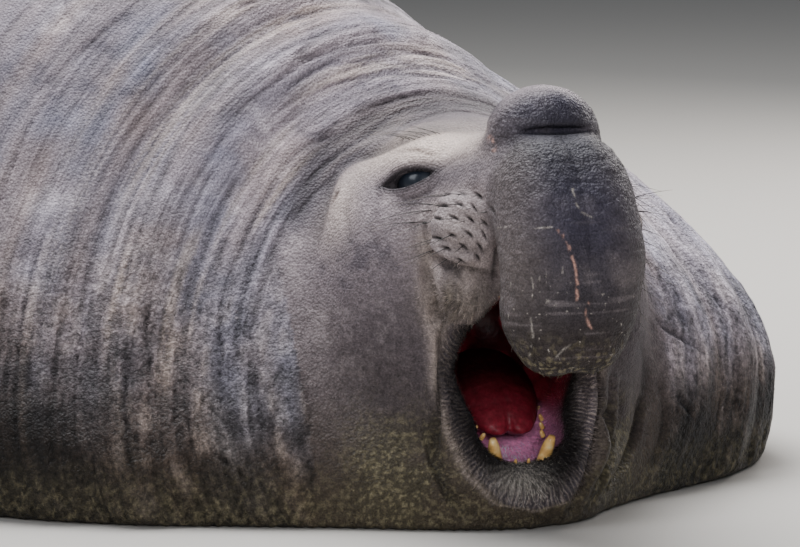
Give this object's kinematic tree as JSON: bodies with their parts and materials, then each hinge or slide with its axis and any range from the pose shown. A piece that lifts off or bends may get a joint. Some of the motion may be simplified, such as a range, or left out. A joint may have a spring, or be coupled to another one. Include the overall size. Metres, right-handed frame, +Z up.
{
  "type": "elephant seal model",
  "caption": "Life-size still model of a bull elephant seal lying on its belly, head turned, mouth wide open under a hanging trunk-like nose.",
  "frame": {"origin": "centre of the footprint, on the floor under the belly", "axes": "+Y runs from the head to the hind flippers along the body, +X to the animal's left, +Z up"},
  "size_m": [1.9532, 4.2282, 0.825],
  "materials": {
    "hide": "matte short fur over skin",
    "hide_dark": "matte short fur over skin",
    "hide_pale": "matte short fur over skin",
    "flesh": "moist",
    "eye": "wet gloss"
  },
  "bodies": {
    "root": {"head": "hide_pale", "proboscis": "hide", "lower_jaw": "hide_dark", "tongue": "flesh", "eye_left": "eye", "eye_right": "eye", "neck": "hide", "chest": "hide", "abdomen": "hide", "hindquarters": "hide", "tail": "hide_dark", "fore_flipper_left": "hide_dark", "fore_flipper_right": "hide_dark", "hind_flipper_left": "hide_dark", "hind_flipper_right": "hide_dark"}
  },
  "joints": []
}
